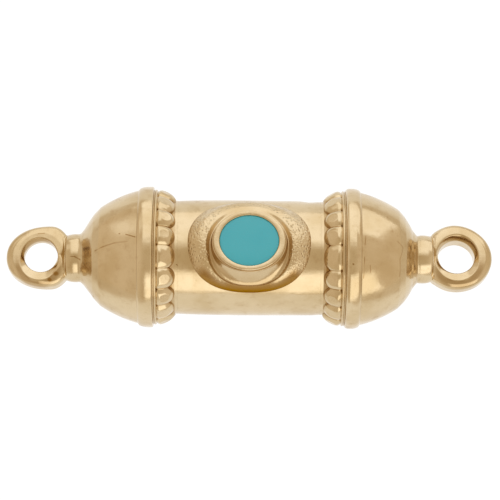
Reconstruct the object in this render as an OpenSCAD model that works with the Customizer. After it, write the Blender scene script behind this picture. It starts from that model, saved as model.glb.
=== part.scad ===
// Tube spacer bead: a hollow barrel that carries a beaded ring, a domed cap and a loop at
// each end, and an oval bezel filled with enamel on a saddle in the middle.
// X runs along the tube, Z points up through the bezel, and z = 0 is what it rests on.

/* [Overall] */
// Length from the end of one loop to the end of the other
overall_len = 34.0; // [33.8:0.1:34.2]

/* [Barrel] */
// Diameter of the barrel half way along
barrel_mid_d = 8.10; // [8.06:0.02:8.14]
// Diameter of the barrel at its shoulders, where it meets the beaded rings
barrel_end_d = 7.94; // [7.90:0.02:7.96]
// Length of the barrel that shows between the beaded rings
barrel_len = 9.90; // [9.80:0.05:10.00]
// Thickness of the barrel's wall at its ends
barrel_wall = 0.55; // [0.45:0.05:0.65]

/* [Beaded rings] */
// Number of beads round each ring
bead_count = 18; // [16:1:20]
// Diameter of one bead
bead_d = 1.70; // [1.60:0.05:1.80]
// How far the beads stand out of their sleeve
bead_rise = 0.38; // [0.30:0.02:0.44]
// Diameter over the beads
beaded_d = 9.54; // [9.40:0.02:9.60]
// Width of each ring along the tube
beaded_w = 1.64; // [1.55:0.01:1.66]

/* [End caps] */
// Diameter of the rolled rim, the widest part of the body
rim_d = 9.88; // [9.80:0.02:10.00]
// Width of the rolled rim along the tube
rim_w = 1.16; // [1.10:0.02:1.20]
// Diameter of the dome where it leaves the rim
dome_foot_d = 9.34; // [9.20:0.02:9.40]
// Diameter of the dome at its shoulder, where the end cone starts
dome_shoulder_d = 6.90; // [6.70:0.10:7.10]
// Length of the dome from the rim's middle to its shoulder
dome_len = 3.24; // [3.10:0.02:3.30]
// Radius of the arc between the dome's foot and its shoulder
dome_round = 9.20; // [8:0.1:11]
// Length of the end cone
cone_len = 1.25; // [1.15:0.05:1.35]
// Thickness of the cap's wall
cap_wall = 0.70; // [0.60:0.05:0.75]

/* [End loops] */
// Outside diameter of a loop
loop_d = 4.80; // [4.6:0.05:4.9]
// Diameter of the hole in a loop
loop_hole_d = 2.36; // [2.2:0.02:2.5]
// Thickness of a loop along its hole
loop_thick = 1.90; // [1.7:0.05:2.1]
// Length of the straight wall inside the hole
loop_land = 0.90; // [0.8:0.05:1.0]
// Diameter of the collar between the cap and the loop
collar_d = 3.38; // [3.30:0.02:3.40]
// Length of the collar
collar_len = 1.04; // [0.95:0.01:1.10]

/* [Bezel] */
// Length of the saddle along the tube
saddle_len = 8.70; // [8.4:0.1:9.0]
// Angle that the saddle wraps round the barrel on each side
saddle_wrap = 52; // [50:0.5:54]
// Height of the saddle's crest above the barrel
saddle_h = 0.44; // [0.40:0.01:0.48]
// Length of the skirt's foot along the tube, in the gutter inside the saddle's crest
skirt_len = 5.76; // [5.70:0.02:5.84]
// Angle that the skirt's foot wraps round the barrel on each side
skirt_wrap = 41.5; // [41:0.5:42]
// Length of the bezel's ring along the tube
bezel_len = 5.06; // [5.00:0.02:5.10]
// Width of the bezel's ring
bezel_w = 4.36; // [4.30:0.02:4.40]
// Height of the bezel's ring above the barrel
bezel_h = 0.84; // [0.80:0.01:0.90]

/* [Enamel] */
// Length of the enamel along the tube
enamel_len = 4.06; // [4.00:0.02:4.08]
// Width of the enamel
enamel_w = 3.58; // [3.52:0.02:3.60]
// Depth of the enamel in its pocket
enamel_depth = 0.50; // [0.40:0.05:0.50]
// How far the enamel lies below the top of the ring
enamel_recess = 0.10; // [0.08:0.01:0.14]

/* [Rest] */
// Width of the flat under each rim that the part rests on
rest_flat_w = 1.60; // [1.2:0.1:1.8]

/* [Hidden] */
$fn = 96;

gold = "#d9b878";
turquoise = "#57adb4";

// Clearance between neighbouring pieces
fit_gap = 0.03;
// Overlap that makes two shapes of one piece run into each other
bite = 0.02;

rim_r = rim_d / 2;
rim_round = rim_w / 2;
// Height of the tube's axis over the surface, with the rest flats cut
axis_z = sqrt(pow(rim_r, 2) - pow(rest_flat_w / 2, 2));

// Places along the tube, from the middle outwards
shoulder_x = barrel_len / 2;
beaded_x = shoulder_x + fit_gap;
rim_x = beaded_x + beaded_w + 2 * fit_gap + rim_round;
dome_shoulder_x = rim_x + dome_len;
cone_end_x = dome_shoulder_x + cone_len;
collar_x = cone_end_x + fit_gap;
collar_end_x = collar_x + collar_len;
loop_root_x = collar_end_x + 0.12;
loop_x = overall_len / 2 - loop_d / 2;
cap_seat_x = rim_x + 1.20;
room_turn_x = dome_shoulder_x - 0.6 * cap_wall;
room_end_x = cone_end_x - cap_wall;

// Barrel
seat_step = 0.10;
seat_r = barrel_end_d / 2 - seat_step;
barrel_bore_r = seat_r - barrel_wall;
barrel_swell = (barrel_mid_d - barrel_end_d) / 2;
barrel_arc_r = (pow(shoulder_x, 2) + pow(barrel_swell, 2)) / (2 * barrel_swell);
socket_r = seat_r + fit_gap;

// Beads, along the tube from the ring's inner face
bead_offset = 1.05;
sleeve_slope_len = 0.65;

// Loops and the stems that hold them
collar_round = 0.22;
neck_r = collar_d / 2 - 0.08;
neck_thick = 0.8 * loop_thick;
stem_r = 0.90;
stem_head_r = 1.25;
stem_head_len = 0.35;
loop_round = 0.62;
loop_ridge_r = 1.60;

// Bezel and the rivet post under it
post_r = 0.60;
post_head_r = 0.90;
post_head_z = 3.18;
post_end_z = 2.90;
around = 72;
underside_rings = 8;
bezel_top = barrel_mid_d / 2 + bezel_h;
enamel_top = bezel_top - enamel_recess;
pocket_floor = enamel_top - enamel_depth - fit_gap;

// Radius of the barrel at a distance x from its middle
function barrel_r(x) = barrel_mid_d / 2 - (barrel_arc_r - sqrt(pow(barrel_arc_r, 2) - pow(x, 2)));

// Centre of the arc of radius r from p to q that bulges away from the tube's axis
function arc_centre(p, q, r) =
    let (middle = (p + q) / 2,
         half = norm(q - p) / 2,
         inward = [p.y - q.y, q.x - p.x] / norm(q - p))
    middle + inward * sqrt(pow(r, 2) - pow(half, 2));

dome_foot = [dome_foot_d / 2, rim_x + rim_round];
dome_shoulder = [dome_shoulder_d / 2, dome_shoulder_x];
dome_centre = arc_centre(dome_foot, dome_shoulder, dome_round);

// Everything that is turned on the tube's axis is drawn as [radius, place along the tube]
module turned() {
    translate([0, 0, axis_z]) rotate([0, 90, 0]) rotate_extrude() children();
}

module bar(r_in, r_out, from_x, to_x) {
    translate([r_in, from_x]) square([r_out - r_in, to_x - from_x]);
}

// The barrel: a tube that swells a little to its middle, with a stepped seat at each end
module tube_barrel() {
    end_x = cap_seat_x - fit_gap;
    color(gold) difference() {
        turned() {
            intersection() {
                translate([barrel_mid_d / 2 - barrel_arc_r, 0]) circle(r = barrel_arc_r, $fn = 1440);
                bar(barrel_bore_r, barrel_mid_d, -shoulder_x, shoulder_x);
            }
            bar(barrel_bore_r, seat_r, -end_x, end_x);
        }
        translate([0, 0, axis_z]) cylinder(r = post_r + fit_gap, h = barrel_mid_d);
    }
}

// A sleeve that rises from the barrel, with a row of beads standing out of it
module beaded_ring() {
    bead_r = bead_d / 2;
    sleeve_r = beaded_d / 2 - bead_rise;
    ring_end_x = beaded_x + beaded_w;
    color(gold) difference() {
        union() {
            turned() polygon([[seat_r, beaded_x], [barrel_end_d / 2, beaded_x],
                              [sleeve_r, beaded_x + sleeve_slope_len], [sleeve_r, ring_end_x], [seat_r, ring_end_x]]);
            intersection() {
                for (i = [0 : bead_count - 1])
                    translate([beaded_x + bead_offset, 0, axis_z]) rotate([i * 360 / bead_count, 0, 0])
                        translate([0, 0, beaded_d / 2 - bead_r]) sphere(r = bead_r);
                turned() bar(0, beaded_d, beaded_x, ring_end_x);
            }
        }
        turned() bar(0, socket_r, 0, rim_x);
    }
}

// Outline of a cap: rolled rim, domed wall, end cone
module cap_outline() {
    translate([rim_r - rim_round, rim_x]) circle(r = rim_round);
    bar(0, rim_r - rim_round, rim_x - rim_round, rim_x + rim_round);
    intersection() {
        translate(dome_centre) circle(r = dome_round, $fn = 360);
        bar(0, rim_r, rim_x, dome_shoulder_x);
    }
    polygon([[0, dome_shoulder_x - bite], dome_shoulder, [collar_d / 2, cone_end_x], [0, cone_end_x]]);
}

// Hollow of a cap: the socket for the barrel, the room behind it and the hole for the stem
module cap_hollow() {
    inner_round = dome_round - cap_wall;
    turn_r = dome_centre.x + sqrt(pow(inner_round, 2) - pow(room_turn_x - dome_centre.y, 2));
    bar(0, socket_r, 0, cap_seat_x);
    intersection() {
        translate(dome_centre) circle(r = inner_round, $fn = 360);
        bar(0, socket_r, cap_seat_x - bite, room_turn_x);
    }
    polygon([[0, room_turn_x - bite], [turn_r, room_turn_x], [stem_head_r + fit_gap, room_end_x], [0, room_end_x]]);
    bar(0, stem_r + fit_gap, room_end_x - bite, cone_end_x + fit_gap);
}

// The box under the rim cuts the flat that the part rests on
module end_cap() {
    color(gold) difference() {
        turned() difference() {
            cap_outline();
            cap_hollow();
        }
        translate([rim_x, 0, -rim_r]) cube([2 * rim_w, rim_d, rim_d], center = true);
    }
}

// Section of a loop's ring: a straight land in the hole, bevels beside it, a round outside
module loop_section() {
    half = loop_thick / 2;
    crown = loop_d / 2 - loop_round;
    difference() {
        union() {
            translate([loop_hole_d / 2, -half]) square([crown - loop_hole_d / 2, loop_thick]);
            translate([crown - bite, loop_round - half]) square([loop_round + bite, loop_thick - 2 * loop_round]);
            for (side = [-1, 1]) translate([crown, side * (half - loop_round)]) circle(r = loop_round);
        }
        for (side = [-1, 1])
            polygon([[loop_hole_d / 2 - 1, side * loop_land / 2], [loop_hole_d / 2, side * loop_land / 2],
                     [loop_ridge_r, side * half], [loop_ridge_r, side * (half + 1)],
                     [loop_hole_d / 2 - 1, side * (half + 1)]]);
    }
}

// A loop in one piece with its neck, its collar and the stem that is riveted inside the cap
module end_loop() {
    stem_head_x = room_end_x - fit_gap;
    color(gold) {
        intersection() {
            translate([loop_x, 0, axis_z]) rotate_extrude() loop_section();
            translate([loop_root_x, -loop_d, 0]) cube([2 * loop_d, 2 * loop_d, 2 * axis_z]);
        }
        intersection() {
            turned() bar(0, neck_r, collar_end_x - bite, loop_root_x + bite);
            translate([loop_root_x, 0, axis_z]) cube([collar_d, collar_d, neck_thick], center = true);
        }
        turned() {
            bar(0, collar_d / 2, collar_x + collar_round, collar_end_x - collar_round);
            bar(0, collar_d / 2 - collar_round, collar_x, collar_end_x);
            for (x = [collar_x + collar_round, collar_end_x - collar_round])
                translate([collar_d / 2 - collar_round, x]) circle(r = collar_round);
            bar(0, stem_r, stem_head_x - stem_head_len, collar_x + bite);
            bar(0, stem_head_r, stem_head_x - stem_head_len, stem_head_x);
        }
    }
}

// A ring of points round the bezel that lies over the barrel: an oval wrapped round it, with
// its height over the barrel at the ends and at the sides
function wrapped_ring(half_len, wrap, lift_end, lift_side) =
    [for (i = [0 : around - 1])
        let (turn = i * 360 / around,
             x = half_len * cos(turn),
             lean = wrap * sin(turn),
             r = barrel_r(x) + lift_end * pow(cos(turn), 2) + lift_side * pow(sin(turn), 2))
        [x, r * sin(lean), r * cos(lean)]];

// A flat ring of points at one height
function level_ring(half_len, half_w, z) =
    [for (i = [0 : around - 1]) [half_len * cos(i * 360 / around), half_w * sin(i * 360 / around), z]];

// A ring between two others, with its own share of the way in plan and in height
function between(low, high, plan, rise) =
    [for (i = [0 : around - 1])
        [low[i].x + plan * (high[i].x - low[i].x),
         low[i].y + plan * (high[i].y - low[i].y),
         low[i].z + rise * (high[i].z - low[i].z)]];

// Columns: half length, wrap angle, height over the barrel at the ends and at the sides
saddle_rows = [[saddle_len / 2,        saddle_wrap,       0.10,            0.08],
               [saddle_len / 2 - 0.33, saddle_wrap - 2.8, 0.57 * saddle_h, 0.50 * saddle_h],
               [saddle_len / 2 - 0.70, saddle_wrap - 5.8, 0.88 * saddle_h, 0.86 * saddle_h],
               [saddle_len / 2 - 0.95, saddle_wrap - 7.4, 0.98 * saddle_h, 0.99 * saddle_h],
               [saddle_len / 2 - 1.32, saddle_wrap - 9.1, saddle_h,        saddle_h],
               [skirt_len / 2,         skirt_wrap,        0.45 * saddle_h, 0.75 * saddle_h]];

// Columns: share of the way from the skirt's foot to the ring, in plan and in height
skirt_rows = [[0.34, 0.16], [0.64, 0.42], [0.86, 0.72]];

// Columns: how far inside the ring's outline, depth below the ring's top
ring_rows = [[0.01, 0.26], [0.05, 0.21], [0.01, 0.15], [0, 0.11], [0.05, 0.04], [0.14, 0], [0.28, 0]];

// Saddle, skirt and ring of the bezel in one solid, with a riveted post through the barrel
module bezel_setting() {
    post = [for (p = [[post_head_r, post_end_z], [post_head_r, post_head_z], [post_r, post_head_z]])
        level_ring(p[0], p[0], p[1])];
    post_wrap = asin(post_r / (barrel_mid_d / 2 + fit_gap));
    underside = [for (k = [0 : underside_rings])
        let (part = k / underside_rings)
        wrapped_ring(post_r + part * (saddle_len / 2 - post_r),
                     post_wrap + part * (saddle_wrap - post_wrap), fit_gap, fit_gap)];
    saddle = [for (row = saddle_rows) wrapped_ring(row[0], row[1], row[2], row[3])];
    ring = [for (row = ring_rows)
        level_ring(bezel_len / 2 - row[0], bezel_w / 2 - row[0], bezel_top - row[1])];
    skirt = [for (row = skirt_rows) between(saddle[len(saddle) - 1], ring[0], row[0], row[1])];
    pocket = [for (z = [enamel_top, pocket_floor])
        level_ring(enamel_len / 2 + fit_gap, enamel_w / 2 + fit_gap, z)];
    rings = concat(post, underside, saddle, skirt, ring, pocket);
    last = len(rings) - 1;
    corners = concat([for (loop = rings) each loop], [[0, 0, post_end_z], [0, 0, pocket_floor]]);
    under_middle = len(corners) - 2;
    top_middle = len(corners) - 1;
    sides = [for (k = [0 : last - 1]) for (i = [0 : around - 1])
        let (j = (i + 1) % around)
        each [[k * around + i, (k + 1) * around + i, k * around + j],
              [k * around + j, (k + 1) * around + i, (k + 1) * around + j]]];
    ends = [for (i = [0 : around - 1])
        let (j = (i + 1) % around)
        each [[under_middle, i, j], [top_middle, last * around + j, last * around + i]]];
    color(gold) translate([0, 0, axis_z]) polyhedron(corners, concat(sides, ends), convexity = 6);
}

// The enamel: a flat oval that fills the pocket
module enamel_inlay() {
    color(turquoise) translate([0, 0, axis_z + enamel_top - enamel_depth])
        linear_extrude(enamel_depth)
            polygon([for (i = [0 : around - 1])
                [enamel_len / 2 * cos(i * 360 / around), enamel_w / 2 * sin(i * 360 / around)]]);
}

module on_left() {
    mirror([1, 0, 0]) children();
}

tube_barrel();
on_left() beaded_ring();  // beaded_ring_left
beaded_ring();  // beaded_ring_right
on_left() end_cap();  // end_cap_left
end_cap();  // end_cap_right
on_left() end_loop();  // end_loop_left
end_loop();  // end_loop_right
bezel_setting();
enamel_inlay();
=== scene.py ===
"""Looks of the tube spacer bead: nine polished gold and enamel pieces, a pale floor, studio light, camera.

Shapes are worked out in millimetres, with x along the tube and heights measured from the tube's axis,
and are put in the row frame, in metres, when their meshes are made. Each end is worked out on the right,
and the left one is mirrored. Where the two differ, a value is kept for each side.
"""
import math

import bpy
import numpy as np
from mathutils import Matrix, Vector


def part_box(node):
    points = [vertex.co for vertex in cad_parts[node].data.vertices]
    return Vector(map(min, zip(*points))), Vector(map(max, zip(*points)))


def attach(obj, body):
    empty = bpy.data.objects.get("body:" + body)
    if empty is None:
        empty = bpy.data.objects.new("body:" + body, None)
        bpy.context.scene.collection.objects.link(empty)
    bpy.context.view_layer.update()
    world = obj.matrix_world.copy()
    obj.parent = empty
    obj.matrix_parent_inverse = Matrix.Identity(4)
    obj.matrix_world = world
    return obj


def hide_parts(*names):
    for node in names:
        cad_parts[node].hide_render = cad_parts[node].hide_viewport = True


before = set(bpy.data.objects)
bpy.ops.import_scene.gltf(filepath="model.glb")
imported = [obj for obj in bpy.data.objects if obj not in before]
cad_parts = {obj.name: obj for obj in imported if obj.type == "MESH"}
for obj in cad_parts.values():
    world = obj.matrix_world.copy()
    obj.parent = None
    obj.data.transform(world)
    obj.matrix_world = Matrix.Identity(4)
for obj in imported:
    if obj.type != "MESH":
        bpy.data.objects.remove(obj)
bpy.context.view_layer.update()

MM = 0.001
LEFT, RIGHT = -1, 1

# The camera looks down over the tube's -Y side, this far from straight above
CAMERA_LEAN_DEG = 14.5
ELEVATION = math.radians(90 - CAMERA_LEAN_DEG)

# The body, from the frame
rim_low, rim_high = (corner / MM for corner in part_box("end_cap_right"))
RIM_R = (rim_high.y - rim_low.y) / 2
AXIS_Z = rim_high.z - RIM_R
CAP_START_X = rim_low.x
CAP_END_X = rim_high.x
END_X = (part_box("end_loop_right")[1] / MM).x
BARREL_END_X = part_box("tube_barrel")[1].x / MM
RING_END_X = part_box("beaded_ring_right")[1].x / MM

# Columns of points round a turned piece
AROUND = 360
# Two rows of a mesh this close together keep the smooth shading of a face from running round its edge
EDGE = 0.004

# The slow waves that hand polishing leaves: how many are added up, and how high they are
RIPPLE_WAVES = 7
BARREL_RIPPLE = 0.014
CAP_RIPPLE = 0.016

# Seeds of the uneven barrel, caps and beads; the caps and rings add their side
BARREL_SEED = 5
CAP_SEED = 30
BEAD_SEED = 40

# The barrel
BARREL_MID_R = 4.04
BARREL_END_R = 3.96
BARREL_ROWS = 80
SHOULDER_X = 4.95
SEAT_R = 3.87
BORE_R = 3.32
# A shallow dent in the barrel: place along the tube, turn to the back, half length, half turn, and depth
DENT_X = 4.2
DENT_TURN = math.radians(75)
DENT_HALF_LEN = 0.45
DENT_HALF_TURN = 0.2
DENT_DEPTH = 0.06

# The beaded rings: places along the tube of the beads' feet, middles and ends and of the small flats on them
BEADS = 18
BEAD_FOOT_X = 5.15
BEAD_MIDDLE_X = 6.00
BEAD_END_X = 6.50
BEAD_HEIGHT = 0.495
FLATS_X = {LEFT: 5.82, RIGHT: 5.72}
FLAT_DEPTH = 0.05
FLAT_EDGE = 0.008
# Squareness of a bead seen from above, towards the barrel and towards the cap; 2 is an oval
BEAD_SQUARENESS = (2.2, 3.6)
# Where a bead's neighbours cut it off, as a share of the way out in its oval
BEAD_CUT = 0.86
# How much the sleeve under the beads rises towards the cap, the worn corner at the beads' feet, and the
# sleeve's inside
SLEEVE_RISE = 0.30
BEAD_FOOT_ROUND = 0.02
SOCKET_R = 3.90
# Place of the first groove that shows, in degrees to the front of the camera, and how far the grooves that
# show lie from an even spacing, from the back of the tube to its front
FIRST_GROOVE_DEG = -50.0
GROOVE_SHIFTS = {LEFT: (3.0, 0.5, -1.5, 0.0, -0.5, -2.0), RIGHT: (2.0, -0.5, -2.5, 1.0, -1.0, -2.0)}
# The thin lip beside the cap: place, half thickness, radius of its foot, height and squareness
RING_LIP_X = 6.52
RING_LIP_HALF = 0.12
RING_LIP_FOOT_R = 4.42
RING_LIP_HEIGHT = 0.315
RING_LIP_SQUARENESS = 2.6
# Radii of the ring's end between the lip and the cap
RING_BACK_RADII = (4.725, 4.72)
BEAD_COLUMNS = 52
BEAD_ROWS = 84

# The end caps: place of the rim's top, and the height and squareness of its sides towards beads and dome
RIM_X = {LEFT: 6.94, RIGHT: 7.12}
RIM_HIGH = (0.30, 0.29)
RIM_SQUARENESS = {LEFT: (6.0, 2.2), RIGHT: (2.8, 2.0)}
DOME_FOOT = (7.75, 4.66)
DOME_SHOULDER = (10.42, 3.47)
DOME_ROUND = 9.2
# Points of the end cone, from the dome's shoulder down into the collar
CONES = {
    LEFT: [(10.89, 2.98), (11.32, 2.355), (11.60, 1.945), (11.80, 1.73), (12.2, 1.45)],
    RIGHT: [(10.58, 3.31), (10.87, 3.00), (11.15, 2.60), (11.29, 2.365), (11.43, 2.08), (11.57, 1.905),
            (11.95, 1.42)],
}
# The fillet between cone and collar, and where it may start
CONE_FILLET = 0.10
CONE_FILLET_X = 11.3
CORNER_WEAR = 0.035
CAP_LIP_END_X = 11.96
# The cap's hollow: place of its end, its shoulder, and its wall down to the socket
HOLLOW_END_X = 11.05
HOLLOW_SHOULDER = (DOME_SHOULDER[0] - 0.45, DOME_SHOULDER[1] - 0.50)
HOLLOW_WALL = [(9.2, 3.55), (8.46, 3.84), (8.46, SOCKET_R)]
# Bends at the ends: places along the tube, and how far to the front of the axis
END_BENDS = {
    LEFT: ((11.1, 11.9, 12.6, 13.3, 15.6, 17.0), (0.0, 0.125, 0.14, 0.127, 0.165, 0.205)),
    RIGHT: ((10.6, 11.0, 11.6, 12.0, 12.6, 13.0, 14.4, 15.1, 16.0),
            (0.0, 0.03, 0.03, 0.0, 0.0, -0.06, -0.06, -0.04, 0.0)),
}

# The collars: largest radius and its place, how fast they round off from there, their end and its corner
COLLAR_R = 1.695
COLLAR_MIDDLE_X = 12.16
COLLAR_FALL = 0.30
COLLAR_END_X = 12.86
COLLAR_ROUND = 0.15

# The stem inside the cap and its riveted head, and the gap that the cap leaves round both
STEM_R = 0.90
STEM_MIDDLE_X = 11.4
STEM_HALF_LEN = 0.8
HEAD_R = 1.25
HEAD_MIDDLE_X = 10.84
HEAD_HALF_LEN = 0.17
STEM_GAP = 0.03

# Outline of each loop seen along its hole: place of the widest point, half width there, roundness outwards,
# half width at the collar as a share, and power of the fall towards it
LOOP_OUTLINES = {
    LEFT: {"wide_x": 13.95, "half_w": 2.18, "bulge": 2.16, "root_share": 0.70, "fall": 2.3},
    RIGHT: {"wide_x": 14.42, "half_w": 2.315, "bulge": 2.0, "root_share": 0.716, "fall": 2.0},
}
# Hole of each loop: place of its middle, its radii along and across the tube, the oval ridge of its bevel on
# the loop's face, as its middle from the hole's, outwards and to the front, and its radii, the heights where
# the bevel ends at the back and at the front and where the hole widens again below, how much painted shade
# and reflection browns the hole at the back, and down to which height
LOOP_HOLES = {
    LEFT: {"x": 14.57, "r": (1.165, 1.165), "ridge_at": (0.10, 0.35), "ridge": (1.33, 1.56),
           "land": (0.52, 0.64, -0.28), "back_shade": (0.55, 0.10)},
    RIGHT: {"x": 14.49, "r": (1.27, 1.205), "ridge_at": (0.06, 0.165), "ridge": (1.51, 1.69),
            "land": (0.42, 0.64, -0.86), "back_shade": (0.22, 0.35)},
}
LOOP_THICK = 1.86
# The rounding of a loop's outer edge, and how much sharper it is in front
LOOP_ROUND = 0.50
LOOP_SHARPER = 0.12
# How much a loop's faces fall away per millimetre, how much more in front, and from which reach on
LOOP_FALL = 0.12
LOOP_FALL_FRONT = 0.14
LOOP_FALL_START = 1.6
# The fillets between bevel and hole and between loop and collar
BEVEL_FILLET = 0.03
NECK_FILLET = 0.12
# The box in which the skin of a loop is looked for, and the size of its cells
LOOP_BOX = ((10.5, -2.5, -1.85), (END_X + 0.1, 2.5, 1.85))
CELL = 0.05

# The bezel's heights over the axis, and the depth of its pocket below the enamel's top
BEZEL_TOP = 4.89
ENAMEL_TOP = 4.79
POCKET_DEPTH = 0.53
BEZEL_AROUND = 600
# The riveted post from the middle of its head up: radius and height
POST = [(0.0, 2.90), (0.9, 2.90), (0.9, 3.18), (0.6, 3.18), (0.6, 3.9)]
# The saddle's underside, just over the barrel, from the post outwards: half length and wrap angle
UNDERSIDE = [(0.6 + k * 0.74, 8.5 + k * 8.6) for k in range(5)]
UNDERSIDE_LIFT = 0.008
# The bezel's rows end with three shares of painted shade and reflection: at its ends, all along its front,
# and in the middle of its front.
# Saddle rows, from its foot over its crest into the gutter beside the skirt: half length, wrap angle, height
# over the barrel at the ends and at the sides, and how many degrees it is turned to the back
SADDLE_ROWS = [
    (4.25, 54.5, -0.01, -0.01, 3.6, 0.3, 1.0, 1.0),
    (4.23, 54.2, 0.02, 0.02, 3.5, 0.3, 1.0, 1.0),
    (4.09, 51.4, 0.12, 0.11, 2.7, 0.2, 1.0, 1.0),
    (3.88, 47.9, 0.24, 0.26, 2.0, 0.0, 1.0, 1.0),
    (3.66, 44.8, 0.355, 0.39, 2.0, 0.0, 0.9, 1.0),
    (3.48, 43.0, 0.425, 0.42, 1.5, 0.0, 0.35, 1.0),
    (3.20, 41.7, 0.46, 0.44, 0.9, 0.0, 0.0, 0.9),
    (3.01, 39.6, 0.455, 0.465, -0.9, 0.0, 0.0, 0.9),
    (2.94, 38.3, 0.415, 0.455, -1.9, 0.0, 0.0, 0.8),
    (2.88, 37.5, 0.335, 0.425, -2.4, 0.15, 0.1, 0.7),
    (2.80, 36.8, 0.27, 0.395, -2.8, 0.4, 0.1, 0.5),
    (2.71, 36.2, 0.24, 0.375, -3.2, 0.4, 0.1, 0.3),
]
SADDLE_FULLNESS = (2.3, 1.85)
OVAL = (2.0, 2.0)
# Skirt rows, from the gutter to the ring: share of the way at the ends, at the sides, and in height
SKIRT_ROWS = [
    (0.45, 0.22, 0.13, 0.6, 0.2, 0.2),
    (0.68, 0.46, 0.34, 0.45, 0.15, 0.15),
    (0.84, 0.70, 0.60, 0.2, 0.1, 0.1),
    (0.94, 0.88, 0.82, 0.1, 0.1, 0.1),
    (0.98, 0.96, 0.93, 0.1, 0.1, 0.1),
]
# Ring rows: share of the ring's width inwards from its outside, and depth below its top
RING_ROWS = [
    (-0.16, 0.40, 0.1, 0.2, 0.2),
    (-0.14, 0.34, 0.1, 0.1, 0.1),
    (0.14, 0.32, 0.6, 1.0, 1.0),
    (0.16, 0.24, 0.6, 1.0, 1.0),
    (0.0, 0.16, 0.1, 0.2, 0.2),
    (0.0, 0.07, 0, 0, 0),
    (0.10, 0.015, 0, 0, 0),
    (0.28, 0.0, 0, 0, 0),
    (0.75, 0.0, 0, 0, 0),
    (0.95, 0.02, 0, 0, 0),
    (1.0, 0.06, 0.3, 0.3, 0.3),
]
# Painted shade in the pocket under the enamel: at its ends, along its front and in its middle
POCKET_SHADE = (0.3, 0.3, 0.3)
RING_OUTSIDE = (2.50, 2.11)
RING_INSIDE = (2.04, 1.79)
# Mesh rows for each of the bezel's rows, and how far its corners are worn, in mesh rows
BEZEL_FINE = 6
BEZEL_WEAR = 2.2

# The enamel: half length and half width, and its outline as shares of them and heights from its top
ENAMEL_HALF = (2.05, 1.80)
ENAMEL_OUTLINE = [(0, -0.5), (1.0, -0.5), (1.0, -0.03), (0.985, -0.006), (0.96, 0.0), (0.5, 0.002),
                  (0, 0.004)]
ENAMEL_AROUND = 240


def smooth_step(low, high, value):
    """0 below low, 1 above high, and an S curve between them."""
    part = np.clip((value - low) / (high - low), 0, 1)
    return part * part * (3 - 2 * part)


def smooth_min(a, b, width):
    """The smaller of two fields, with the corner between them rounded over a width."""
    part = np.clip(0.5 + 0.5 * (b - a) / width, 0, 1)
    return b + (a - b) * part - width * part * (1 - part)


def smooth_max(a, b, width):
    """The larger of two fields, with the corner between them rounded over a width."""
    return -smooth_min(-a, -b, width)


def resampled(points, spacing):
    """Points at an even spacing along a polyline."""
    points = np.asarray(points, float)
    run = np.concatenate([[0], np.cumsum(np.linalg.norm(np.diff(points, axis=0), axis=1))])
    count = max(8, int(round(run[-1] / spacing)))
    places = np.linspace(0, run[-1], count)
    return np.stack([np.interp(places, run, column) for column in points.T], 1)


def softened(points, radius, spacing=0.02):
    """A polyline with its corners worn round, by averaging each point with those within about a radius."""
    fine = resampled(points, spacing)
    reach = int(3 * radius / spacing) + 1
    weights = np.exp(-0.5 * (np.arange(-reach, reach + 1) * spacing / radius) ** 2)
    weights /= weights.sum()
    padded = np.pad(fine, ((reach, reach), (0, 0)), mode="edge")
    return np.stack([np.convolve(column, weights, "valid") for column in padded.T], 1)


def thinned(points, bend_deg, longest):
    """Leaves out points where an outline is nearly straight, so that mesh rows sit where it turns."""
    kept = [0]
    turn, run = 0.0, 0.0
    steps = np.diff(points, axis=0)
    heading = np.degrees(np.unwrap(np.arctan2(steps[:, 1], steps[:, 0])))
    for i in range(1, len(points) - 1):
        run += np.linalg.norm(steps[i - 1])
        turn += abs(heading[i] - heading[i - 1])
        if turn >= bend_deg or run >= longest:
            kept.append(i)
            turn, run = 0.0, 0.0
    kept.append(len(points) - 1)
    return points[kept]


def arc_between(p, q, radius):
    """Points, as (x, r), on the arc of that radius from p to q which bulges away from the axis."""
    p, q = np.array(p, float), np.array(q, float)
    chord = q - p
    half = np.linalg.norm(chord) / 2
    inward = np.array([chord[1], -chord[0]]) / (2 * half)
    centre = (p + q) / 2 + inward * math.sqrt(radius**2 - half**2)
    start, end = (math.degrees(math.atan2(*(point - centre)[::-1])) for point in (p, q))
    turn = np.radians(np.linspace(start, end, 60))
    return np.stack([centre[0] + radius * np.cos(turn), centre[1] + radius * np.sin(turn)], 1)


def ripple(x, turn, seed, strength):
    """A slow uneven wave over a turned surface, as hand polishing leaves, in millimetres."""
    waves = np.random.RandomState(seed)
    total = np.zeros(np.broadcast(x, turn).shape)
    for _ in range(RIPPLE_WAVES):
        lobes, phase = waves.randint(2, 8), waves.uniform(0, 2 * math.pi)
        pitch, shift = waves.uniform(0.5, 1.8), waves.uniform(0, 2 * math.pi)
        total += np.sin(lobes * turn + phase) * np.sin(pitch * x + shift) / lobes
    return strength * total


def turns(around):
    """Even angles once round, in radians."""
    return np.arange(around) * 2 * math.pi / around


def grid_faces(rows, columns, closed_rows):
    """Quads over a grid of points whose columns close round, and whose rows do too if asked."""
    row = np.arange(rows if closed_rows else rows - 1)
    column = np.arange(columns)
    a, b = np.meshgrid(row, column, indexing="ij")
    c, d = (a + 1) % rows, (b + 1) % columns
    return np.stack([a * columns + b, c * columns + b, c * columns + d, a * columns + d], -1).reshape(-1, 4)


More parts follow.
